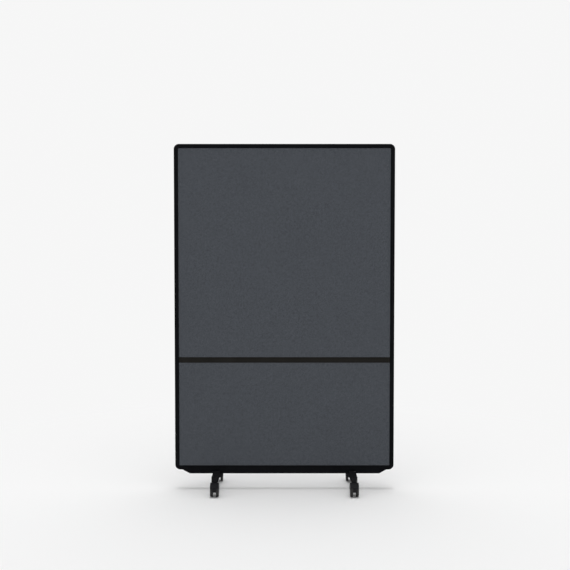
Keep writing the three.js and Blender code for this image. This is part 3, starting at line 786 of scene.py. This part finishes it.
def mid_outline():
    low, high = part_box("mid_rail")
    half = (high.z - low.z) / 2
    web = MID_WEB / 2
    skin = crowned_skin(0, half, HALF_DEPTH - MID_CROWN, MID_CROWN, MID_LIP_RADIUS)
    return [
        (half, GROOVE_HALF), *skin, (-half, GROOVE_HALF),
        (-web, GROOVE_HALF), (-web, -GROOVE_HALF),
        (-half, -GROOVE_HALF), *mirrored(skin), (half, -GROOVE_HALF),
        (web, -GROOVE_HALF), (web, GROOVE_HALF),
    ]


def make_mid_rail():
    low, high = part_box("mid_rail")
    lift = Matrix.Translation((0, 0, (low.z + high.z) / 2))
    height, depth = MID_WEB / 2 - MID_WALL, GROOVE_HALF - MID_WALL
    chamber = [(-height, -depth), (-height, depth), (height, depth), (height, -depth)]
    rail = prism("mid_rail", [mid_outline(), chamber], low.x, high.x, along_x)
    rail.data.transform(lift)
    dress(smooth(rail), "mid_rail", RAIL_MOULDING)

    joint_low, joint_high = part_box("mid_joint_right")
    collar_from, collar_to = high.x + SEAT_GAP, HALF_WIDTH - FACE_WIDTH - SEAT_GAP
    joint = prism("mid_joint", [mid_outline()], collar_from, collar_to, along_x)
    tenon_y, tenon_z = GROOVE_HALF - SLIDE_GAP, MID_WEB / 2 - SLIDE_GAP
    middle = (collar_from + collar_to) / 2
    tenon = block((middle, -tenon_y, -tenon_z), (joint_high.x, tenon_y, tenon_z))
    spigot_y, spigot_z = depth - SLIDE_GAP, height - SLIDE_GAP
    spigot = block((joint_low.x, -spigot_y, -spigot_z), (middle, spigot_y, spigot_z))
    joined(joint, tenon, spigot)
    joint.data.transform(lift)
    left = copy_of(joint, HALF_TURN)
    for obj, node in ((joint, "mid_joint_right"), (left, "mid_joint_left")):
        dress(smooth(obj), node, RAIL_MOULDING)


# ---------------------------------------------------------------- boards


def graded(low, high, insets, step):
    """Places from low to high, close together near both ends and about a step apart between."""
    first, last = low + insets[-1], high - insets[-1]
    count = max(1, round((last - first) / step))
    middle = [first + (last - first) * i / count for i in range(1, count)]
    return [low + i for i in insets] + middle + [high - i for i in reversed(insets)]


def cloth_height(inset):
    """How far the cloth stands out of the facing's plane, by distance in from its edge."""
    if inset < CLOTH_EDGE:
        return math.sqrt(CLOTH_EDGE ** 2 - (CLOTH_EDGE - inset) ** 2) - CLOTH_EDGE
    t = min(1, max(0, (inset - GROOVE_DEPTH) / CLOTH_SWELL_RUN))
    return CLOTH_SWELL * t * t * (3 - 2 * t)


def cloth(low, high, side):
    """Cloth pulled over the facing in the box from low to high and turned round its edges."""
    insets = [CLOTH_EDGE * t for t in CLOTH_EDGE_SHARES]
    insets += [GROOVE_DEPTH + CLOTH_SWELL_RUN * t for t in CLOTH_SWELL_SHARES]
    xs = graded(low.x, high.x, insets, CLOTH_STEP)
    zs = graded(low.z, high.z, insets, CLOTH_STEP)
    face, back = (low.y, high.y) if side < 0 else (high.y, low.y)
    vertices = []
    for z in zs:
        for x in xs:
            inset_x = min(x - low.x, high.x - x)
            inset_z = min(z - low.z, high.z - z)
            height = min(cloth_height(inset_x), cloth_height(inset_z))
            vertices.append((x, face + side * height, z))
    wide, tall = len(xs), len(zs)
    faces = grid_faces(wide, tall)
    rim = [*range(wide), *[j * wide + wide - 1 for j in range(1, tall)],
           *[(tall - 1) * wide + i for i in range(wide - 2, -1, -1)],
           *[j * wide for j in range(tall - 2, 0, -1)]]
    first = len(vertices)
    for index in rim:
        x, _, z = vertices[index]
        vertices.append((x, back, z))
    for i, index in enumerate(rim):
        j = (i + 1) % len(rim)
        faces.append((index, rim[j], first + j, first + i))
    skin = new_object("cloth", vertices, faces)
    centre = Vector((0, face, (low.z + high.z) / 2))
    centre_face = min(skin.data.polygons, key=lambda polygon: (polygon.center - centre).length)
    if centre_face.normal.y * side < 0:
        skin.data.flip_normals()
    thicken = skin.modifiers.new("thickness", "SOLIDIFY")
    thicken.thickness = CLOTH_THICKNESS
    thicken.offset = -1
    thicken.use_even_offset = True
    return smooth(apply_modifiers(skin), degrees=50)


def make_boards():
    for board in ("upper", "lower"):
        for end, side in (("front", -1), ("rear", 1)):
            node = f"facing_{board}_{end}"
            low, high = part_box(node)
            skin = dress(cloth(low, high, side), node, CLOTH)
            inset = CLOTH_THICKNESS + PAD_GAP
            pad_low = [low.x + inset, low.y + (inset if side < 0 else 0), low.z + inset]
            pad_high = [high.x - inset, high.y - (inset if side > 0 else 0), high.z - inset]
            pad = softened(block(pad_low, pad_high), CLOTH_EDGE / 2)
            pad.name = f"backing_{board}_{end}"
            pad.data.materials.append(FILLING)
            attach(smooth(pad), "root")


# ---------------------------------------------------------------- base beam


def beam_skin():
    middle, half = (beam_high.z + beam_low.z) / 2, (beam_high.z - beam_low.z) / 2
    return crowned_skin(middle, half, beam_high.y - BEAM_CROWN, BEAM_CROWN, BEAM_LIP_RADIUS)


def beam_loops():
    skin, inner = beam_skin(), BEAM_CHANNEL
    outline = [
        (beam_high.z, inner), *skin, (beam_low.z, inner), (BEAM_WEB_BOTTOM, inner),
        (BEAM_WEB_BOTTOM, -inner), (beam_low.z, -inner), *mirrored(skin), (beam_high.z, -inner),
        (BEAM_WEB_TOP, -inner), (BEAM_WEB_TOP, inner),
    ]
    loops = [outline]
    width = (2 * inner - (BEAM_CELLS + 1) * BEAM_RIB) / BEAM_CELLS
    low, high = BEAM_WEB_BOTTOM + BEAM_WEB_WALL, BEAM_WEB_TOP - BEAM_WEB_WALL
    for i in range(BEAM_CELLS):
        start = -inner + BEAM_RIB + i * (width + BEAM_RIB)
        loops.append([(low, start), (low, start + width), (high, start + width), (high, start)])
    return loops


def make_beam():
    """The beam, with a notch over each foot and the holes of the bolts."""
    bar = prism("beam", beam_loops(), beam_low.x, beam_high.x, along_x)
    notch = FOOT_HALF_WIDTH + NOTCH_GAP
    wide = 2 * HALF_DEPTH
    tools = [block((x - notch, -wide, beam_low.z - OVERRUN), (x + notch, wide, BEAM_WEB_BOTTOM))
             for x in (-FOOT_X, FOOT_X)]
    tools += bolt_holes(BEAM_WEB_BOTTOM, BEAM_WEB_TOP)
    dress(smooth(cut(bar, *tools)), "base_beam", COAT)


def make_beam_ends():
    """Closed ends that go on with the beam's skin, slope up below, and slide into the beam."""
    low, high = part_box("beam_end_right")
    start = beam_high.x + BEAM_END_GAP
    skin = beam_skin()
    end = prism("beam_end", [[*skin, *mirrored(skin)]], start, high.x, along_x)
    far = high.x + DEEP_OVERRUN
    under = beam_low.z - DEEP_OVERRUN
    wide = 2 * HALF_DEPTH
    slope = [
        (start, beam_low.z), (start - OVERRUN, beam_low.z), (start - OVERRUN, under), (far, under),
        (far, beam_low.z + (far - start) * math.tan(BEAM_END_SLOPE)),
    ]
    wedge = prism("wedge", [slope], -wide, wide, across_y)
    channel = block((start - DEEP_OVERRUN, -BEAM_CHANNEL, BEAM_WEB_TOP),
                    (far, BEAM_CHANNEL, beam_high.z + DEEP_OVERRUN))
    cut(end, wedge, channel)
    softened(end, BEAM_END_EDGE, steps=2)
    half = BEAM_CHANNEL - SLIDE_GAP
    tongue = block((low.x, -half, beam_low.z + BEAM_WALL),
                   (start + BEAM_TONGUE_ROOT, half, BEAM_WEB_BOTTOM - SLIDE_GAP))
    joined(end, tongue)
    left = copy_of(end, HALF_TURN)
    for obj, node in ((end, "beam_end_right"), (left, "beam_end_left")):
        dress(smooth(obj), node, BLACK_MOULDING)


# ---------------------------------------------------------------- cross feet


def foot_underside(y):
    """Height of the foot's underside: level over the casters, deeper in the middle."""
    half = STEM_Y - FOOT_LEVEL_END - FOOT_BELLY_RUN
    t = min(1, max(0, (abs(y) - half) / FOOT_BELLY_RUN))
    return FOOT_BOTTOM - FOOT_BELLY * (1 + math.cos(math.pi * t)) / 2


def foot_half_plan(inset):
    """The +X half of the foot's outline in plan, from the front tip to the rear one."""
    straight = foot_high.y - FOOT_HALF_WIDTH
    tip = FOOT_HALF_WIDTH - inset
    turn = quarter_turn(FOOT_TIP_STEPS)
    return [
        (0, -straight - tip),
        *[(tip * math.sin(a), -straight - tip * math.cos(a)) for a in turn[1:]],
        *[(tip, -straight + 2 * straight * i / FOOT_SIDE_STEPS) for i in range(1, FOOT_SIDE_STEPS)],
        *[(tip * math.cos(a), straight + tip * math.sin(a)) for a in turn[:-1]],
        (0, straight + tip),
    ]


def foot_blank():
    """Bar with round tips in plan: its upper edge is rounded over, its lower edge eased."""
    edge, knee = FOOT_LOWER_EDGE, 0.3 * FOOT_LOWER_EDGE
    easing = [(edge, 0), (knee, knee), (0, edge)]
    rounding = [(FOOT_EDGE * (1 - math.cos(a)), FOOT_EDGE * (1 - math.sin(a)))
                for a in quarter_turn(ARC_STEPS)]
    rings = [[(x, y, foot_underside(y) + lift) for x, y in foot_half_plan(inset)]
             for inset, lift in easing]
    rings += [[(x, y, foot_high.z - drop) for x, y in foot_half_plan(inset)]
              for inset, drop in rounding]
    count = len(rings[0])
    vertices = [point for ring in rings for point in ring]
    faces = grid_faces(count, len(rings))
    mirror_from = len(vertices)
    vertices += [(-x, y, z) for x, y, z in vertices]
    faces += [tuple(mirror_from + i for i in reversed(face)) for face in faces]
    for base in (0, (len(rings) - 1) * count):
        for a in range(base, base + count - 1):
            faces.append((a, a + 1, mirror_from + a + 1, mirror_from + a))
    return new_object("foot", vertices, faces)


def make_feet():
    foot = foot_blank()
    under = foot_low.z - DEEP_OVERRUN / 2
    pocket_half = FOOT_HALF_WIDTH - FOOT_WALL
    pocket_end = STEM_Y - FOOT_STEM_BOSS
    rib = (FOOT_CENTRE_HALF + pocket_end) / 2
    tools = []
    for side in (-1, 1):
        for start, end in ((FOOT_CENTRE_HALF, rib - FOOT_RIB / 2), (rib + FOOT_RIB / 2, pocket_end)):
            y0, y1 = sorted((side * start, side * end))
            tools.append(block((-pocket_half, y0, under), (pocket_half, y1, foot_high.z - FOOT_WALL)))
        tools.append(pin(0, side * STEM_Y, under, stem_high.z + STEM_END_PLAY, FOOT_BORE / 2))
        tools.append(pin(0, side * BOLT_Y, under, BOLT_SEAT, COUNTERBORE / 2))
        tools.append(pin(0, side * BOLT_Y, under, foot_high.z + OVERRUN, BOLT_HOLE / 2))
    cut(foot, *tools)
    for side, x in (("left", -FOOT_X), ("right", FOOT_X)):
        made = copy_of(foot, Matrix.Translation((x, 0, 0)))
        dress(smooth(made), f"foot_{side}", FOOT_COAT_PAINTED_LIGHT)
    bpy.data.objects.remove(foot)


# ---------------------------------------------------------------- casters
# Bodies, wheels and tyres are drawn with the axle along X through the origin and the stem on the +Y side.


def hood():
    """Band over both wheels with rounded shoulders and lips, from the stem's side over the top."""
    crown = HOOD_OUTER - HOOD_EDGE
    lip = HOOD_INNER + HOOD_LIP
    profile = [
        *arc(lip, HOOD_LIP - HALF_CASTER, HOOD_LIP, 180, 270, HOOD_LIP_STEPS),
        *arc(crown, HOOD_EDGE - HALF_CASTER, HOOD_EDGE, -90, 0),
        *arc(crown, HALF_CASTER - HOOD_EDGE, HOOD_EDGE, 0, 90),
        *arc(lip, HALF_CASTER - HOOD_LIP, HOOD_LIP, 90, 180, HOOD_LIP_STEPS),
    ]
    centre = HOOD_INNER + HOOD_WALL / 2
    rounding = [(HOOD_LIP * (1 - math.sin(a)), HOOD_LIP * (1 - math.cos(a)))
                for a in quarter_turn(LIP_STEPS)]
    steps = FINE_TURN // 2
    stations = [(HOOD_FROM + inset / HOOD_OUTER, shrink) for shrink, inset in rounding]
    stations += [(HOOD_FROM + (HOOD_TO - HOOD_FROM) * i / steps, 0) for i in range(1, steps)]
    stations += [(HOOD_TO - inset / HOOD_OUTER, shrink) for shrink, inset in reversed(rounding)]
    rings = []
    for angle, shrink in stations:
        ring = []
        for radius, x in profile:
            r = centre + (radius - centre) * (1 - 2 * shrink / HOOD_WALL)
            ring.append((x * (1 - shrink / HALF_CASTER), r * math.cos(angle), r * math.sin(angle)))
        rings.append(ring)
    return lofted("hood", rings)


def caster_core():
    """The part between the wheels: a web under the hood that runs down to the axle."""
    radius = HOOD_OUTER - HOOD_WALL / 2
    rim = arc(0, 0, radius, math.degrees(HOOD_FROM), math.degrees(HOOD_TO), CORE_RIM_STEPS)
    heel, toe = (-CORE_HEEL, -CORE_DROP), (CORE_TOE, -CORE_DROP)
    outline = [
        *rim, *quadratic(rim[-1], (-radius, -CORE_DROP), heel), heel, toe,
        *quadratic(toe, (radius, -CORE_DROP), rim[0]),
    ]
    half = WHEEL_INNER_FACE - CORE_SIDE_GAP
    return softened(prism("core", [outline], -half, half, across_x), CORE_EDGE, degrees=60)


def caster_body():
    """Hood, web and the stem's round housing, with bores for stem and axle and a pocket from below."""
    body = joined(caster_core(), hood(), pin(0, TRAIL, 0, HOOD_OUTER, HOUSING_RADIUS, FINE_TURN))
    width, length, height = POCKET
    journal_floor = stem_low.z - WHEEL_RADIUS - STEM_END_PLAY
    bore, reach = AXLE_RADIUS + AXLE_FIT, AXLE_HOLE_HALF
    axle_hole = turned("hole", [(0, -reach), (bore, -reach), (bore, reach), (0, reach)], across_x, PIN_TURN)
    pocket = block((-width / 2, -AXLE_BOSS - length, -CORE_DROP - OVERRUN),
                   (width / 2, -AXLE_BOSS, height - CORE_DROP))
    journal_bore = pin(0, TRAIL, journal_floor, HOOD_OUTER + OVERRUN, JOURNAL_RADIUS + RUNNING_GAP)
    return cut(body, pocket, journal_bore, axle_hole)


def caster_wheel():
    """Wheel on the +X side: hub, web, rim, and an outer face with a groove and a dished middle."""
    bore = AXLE_RADIUS + RUNNING_GAP
    rim_radius = WHEEL_RADIUS - TYRE_THICKNESS - SEAT_GAP
    rim_face = WHEEL_INNER_FACE + SEAT_GAP
    shoulder = HALF_CASTER - WHEEL_CROWN
    dish_floor = HALF_CASTER - WHEEL_DISH_DEPTH
    bore_end = dish_floor - WHEEL_CAP_WALL
    web = shoulder - WHEEL_WEB
    groove, half, depth = WHEEL_GROOVE
    floor_half = half * WHEEL_GROOVE_FLOOR

    def face(radius):
        share = (rim_radius - radius) / (rim_radius - WHEEL_DISH_RADIUS)
        return shoulder + WHEEL_CROWN * math.sin(share * math.pi / 2)

    inside = [
        (0, bore_end), (bore, bore_end), (bore, WHEEL_INNER_FACE),
        (WHEEL_HUB_RADIUS - WHEEL_HUB_CHAMFER, WHEEL_INNER_FACE),
        (WHEEL_HUB_RADIUS, WHEEL_INNER_FACE + WHEEL_HUB_CHAMFER), (WHEEL_HUB_RADIUS, web),
        (rim_radius - WHEEL_RIM, web), (rim_radius - WHEEL_RIM, rim_face),
        (rim_radius, rim_face), (rim_radius, shoulder - WHEEL_RIM_CHAMFER),
    ]
    outside = [
        *[(rim_radius - inset, face(rim_radius - inset)) for inset in WHEEL_OUTER_INSETS],
        (groove + half, face(groove + half)),
        (groove + floor_half, face(groove) - depth), (groove - floor_half, face(groove) - depth),
        (groove - half, face(groove - half)),
        *[(radius, face(radius)) for radius in WHEEL_MIDDLE_RADII],
        *[(WHEEL_DISH_RADIUS + beyond, HALF_CASTER - drop) for beyond, drop in WHEEL_DISH_EDGE],
        (WHEEL_DISH_RADIUS - WHEEL_DISH_SLOPE, dish_floor), (WHEEL_BUTTON_FOOT, dish_floor),
        (WHEEL_BUTTON_RADIUS, dish_floor + WHEEL_BUTTON_EDGE), (0, dish_floor + WHEEL_BUTTON_HEIGHT),
    ]
    return turned("wheel", inside + outside, across_x)


def caster_tyre():
    """Tyre of the wheel on the +X side, with two fine grooves round its tread."""
    bore = WHEEL_RADIUS - TYRE_THICKNESS
    low, high = WHEEL_INNER_FACE + SEAT_GAP, HALF_CASTER - WHEEL_CROWN / 2
    corner, middle = WHEEL_RADIUS - TYRE_SHOULDER, (low + high) / 2
    top, floor = TREAD_GROOVE_HALF, TREAD_GROOVE_HALF / 2
    tread = []
    for groove in (middle - TREAD_GROOVE_OFFSET, middle + TREAD_GROOVE_OFFSET):
        for step, depth in ((-top, 0), (-floor, TREAD_GROOVE_DEPTH), (floor, TREAD_GROOVE_DEPTH), (top, 0)):
            tread.append((WHEEL_RADIUS - depth, groove + step))
    return turned("tyre", [
        (bore, low), *arc(corner, low + TYRE_SHOULDER, TYRE_SHOULDER, -90, 0), *tread,
        *arc(corner, high - TYRE_SHOULDER, TYRE_SHOULDER, 0, 90), (bore, high),
    ], across_x, closed=True)


def caster_stem():
    """Journal, collar and ringed shank about the Z axis, at their heights over the floor."""
    collar_low, collar_high = HOOD_TOP + SEAT_GAP, FOOT_BOTTOM - SEAT_GAP
    ring_low = (FOOT_BOTTOM + stem_high.z) / 2 - RING_HEIGHT / 2
    ring_high = ring_low + RING_HEIGHT
    return turned("stem", [
        (0, stem_low.z), (JOURNAL_RADIUS - JOURNAL_CHAMFER, stem_low.z),
        (JOURNAL_RADIUS, stem_low.z + JOURNAL_CHAMFER), (JOURNAL_RADIUS, collar_low),
        (COLLAR_RADIUS, collar_low), (COLLAR_RADIUS, collar_high), (SHANK_RADIUS, collar_high),
        (SHANK_RADIUS, ring_low), (RING_RADIUS, ring_low + RING_CHAMFER),
        (RING_RADIUS, ring_high - RING_CHAMFER), (SHANK_RADIUS, ring_high),
        (SHANK_RADIUS, stem_high.z - SHANK_CHAMFER), (SHANK_RADIUS - SHANK_CHAMFER, stem_high.z),
        (0, stem_high.z),
    ], along_z, PIN_TURN)


def make_casters():
    body, wheel = smooth(caster_body()), smooth(caster_wheel())
    tyre, stem = smooth(caster_tyre()), smooth(caster_stem())
    for side in ("left", "right"):
        for end in ("front", "rear"):
            place = f"{end}_{side}"
            low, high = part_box(f"axle_{place}")
            heading = Matrix() if end == "front" else HALF_TURN
            centre = Matrix.Translation((low + high) / 2) @ heading
            dress(copy_of(body, centre), f"caster_body_{place}", CASTER_MOULDING)
            low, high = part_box(f"stem_{place}")
            post = Matrix.Translation(((low.x + high.x) / 2, (low.y + high.y) / 2, 0))
            dress(copy_of(stem, post), f"stem_{place}", STEEL)
            for hand in ("outer", "inner"):
                low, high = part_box(f"wheel_{place}_{hand}")
                right = (low.x + high.x) / 2 > centre.translation.x
                spin = Matrix.Translation(centre.translation) @ (Matrix() if right else HALF_TURN)
                dress(copy_of(wheel, spin), f"wheel_{place}_{hand}", WHEEL_NYLON)
                dress(copy_of(tyre, spin), f"tyre_{place}_{hand}", RUBBER)
    for draft in (body, wheel, tyre, stem):
        bpy.data.objects.remove(draft)


# ---------------------------------------------------------------- carried-over nodes


def finish_nodes():
    """Materials for the nodes that the scene shows as they are."""
    kept = {"core_": FILLING, "nut_plate_": STEEL, "foot_bolt_": STEEL, "axle_": STEEL}
    for name, node in frame["nodes"].items():
        for start, material in kept.items():
            if name.startswith(start):
                node.data.materials.clear()
                node.data.materials.append(material)


# ---------------------------------------------------------------- studio


def make_camera():
    data = bpy.data.cameras.new("camera")
    data.lens = CAMERA_LENS
    data.sensor_width = CAMERA_SENSOR
    data.shift_x = CAMERA_SHIFT
    camera = placed("camera", data)
    camera.location = (0, -CAMERA_DISTANCE, CAMERA_HEIGHT)
    camera.rotation_euler = (math.pi / 2 + CAMERA_PITCH, 0, 0)
    bpy.context.scene.camera = camera


def make_floor():
    """Pale floor that takes the shadow near the partition and runs out evenly into the background."""
    fade_from, fade_to = FLOOR_FADE
    pale = (BACKGROUND, BACKGROUND, BACKGROUND, 1)
    floor = turned("floor", [(0, 0), (fade_to, 0), (FLOOR_RADIUS, 0)], along_z)
    s = Surface("floor", Roughness=1.0, Specular_IOR_Level=0.0)
    s.paint(pale)
    distance = s.add("ShaderNodeVectorMath", {0: s.place}, operation="LENGTH").outputs["Value"]
    fade = {"Value": distance, "From Min": fade_from, "From Max": fade_to}
    far = s.add("ShaderNodeMapRange", fade, interpolation_type="SMOOTHSTEP").outputs["Result"]
    rays = s.add("ShaderNodeLightPath").outputs
    seen = s.math("MAXIMUM", rays["Is Camera Ray"],
                  s.math("MAXIMUM", rays["Is Glossy Ray"], rays["Is Transmission Ray"]))
    glow = s.add("ShaderNodeEmission", {"Color": pale, "Strength": 1.0})
    mixed = s.add("ShaderNodeMixShader", {0: s.math("MULTIPLY", far, seen)})
    s.feed(mixed.inputs[1], s.shader.outputs[0])
    s.feed(mixed.inputs[2], glow.outputs[0])
    s.feed(s.tree.nodes["Material Output"].inputs["Surface"], mixed.outputs[0])
    floor.data.materials.append(s.material)


def make_lights():
    """Soft studio: a bright ceiling, a bright band at eye level all round, a dim fill and a weak sun."""
    world = bpy.data.worlds.new("studio")
    bpy.context.scene.world = world
    world.use_nodes = True
    s = Nodes(world.node_tree, "Generated")
    height = s.add("ShaderNodeSeparateXYZ", {"Vector": s.place}).outputs["Z"]
    up = s.math("MAXIMUM", height, 0.0)
    ceiling = s.math("MULTIPLY", s.math("POWER", up, CEILING_FOCUS), CEILING)
    level = s.math("SUBTRACT", 1.0, s.math("MULTIPLY", height, height))
    band = s.math("MULTIPLY", s.math("POWER", level, BAND_FOCUS), BAND)
    light = s.math("ADD", s.math("ADD", ceiling, band), FILL)
    camera_ray = s.add("ShaderNodeLightPath").outputs["Is Camera Ray"]
    background = s.tree.nodes["Background"]
    s.feed(background.inputs["Color"], (1, 1, 1, 1))
    s.feed(background.inputs["Strength"], s.blend_numbers(camera_ray, light, BACKGROUND))

    data = bpy.data.lights.new("top", "SUN")
    data.energy = TOP_LIGHT * math.pi
    data.angle = TOP_LIGHT_ANGLE
    placed("top", data).location = (0, 0, TOP_LIGHT_HEIGHT)


# ---------------------------------------------------------------- whole scene

bpy.context.scene.view_settings.view_transform = "Standard"
make_camera()
make_frame()
make_corners()
make_mid_rail()
make_boards()
make_beam()
make_beam_ends()
make_feet()
make_casters()
finish_nodes()
make_floor()
make_lights()
